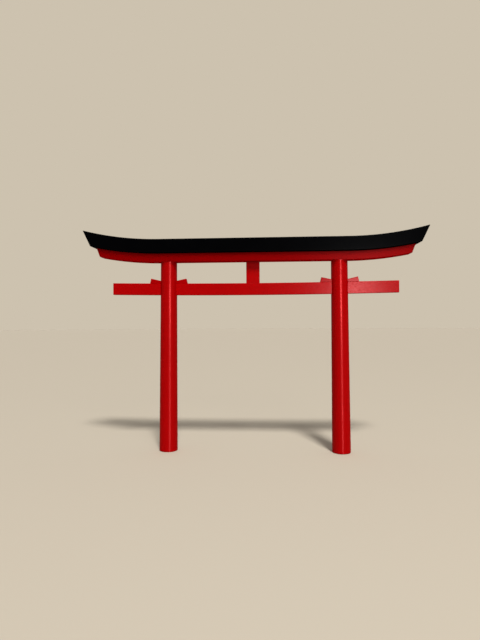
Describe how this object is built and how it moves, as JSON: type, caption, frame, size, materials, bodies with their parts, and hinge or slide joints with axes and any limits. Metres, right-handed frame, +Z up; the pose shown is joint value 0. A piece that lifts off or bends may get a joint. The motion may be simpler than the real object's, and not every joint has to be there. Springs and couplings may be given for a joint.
{
  "type": "torii gate model",
  "caption": "Desk-top torii gate in printed plastic: round tapering pillars, a wedged tie beam with a centre strut, and a red lintel under a black gabled one, both swept up at the ends.",
  "frame": {"origin": "on the floor, midway between the pillars' feet", "axes": "+X along the lintels, +Y from front to back through the gateway, +Z up"},
  "size_m": [0.3022, 0.025, 0.1977],
  "materials": {
    "red_plastic": "3-D printed red PLA, semi-gloss with fine layer lines",
    "black_plastic": "3-D printed black PLA, satin with fine layer lines"
  },
  "bodies": {
    "root": {"left_pillar": "red_plastic", "right_pillar": "red_plastic", "tie_beam": "red_plastic", "wedge_left_outer": "red_plastic", "wedge_left_inner": "red_plastic", "wedge_right_inner": "red_plastic", "wedge_right_outer": "red_plastic", "centre_strut": "red_plastic", "lower_lintel": "red_plastic", "top_lintel": "black_plastic"}
  },
  "joints": []
}
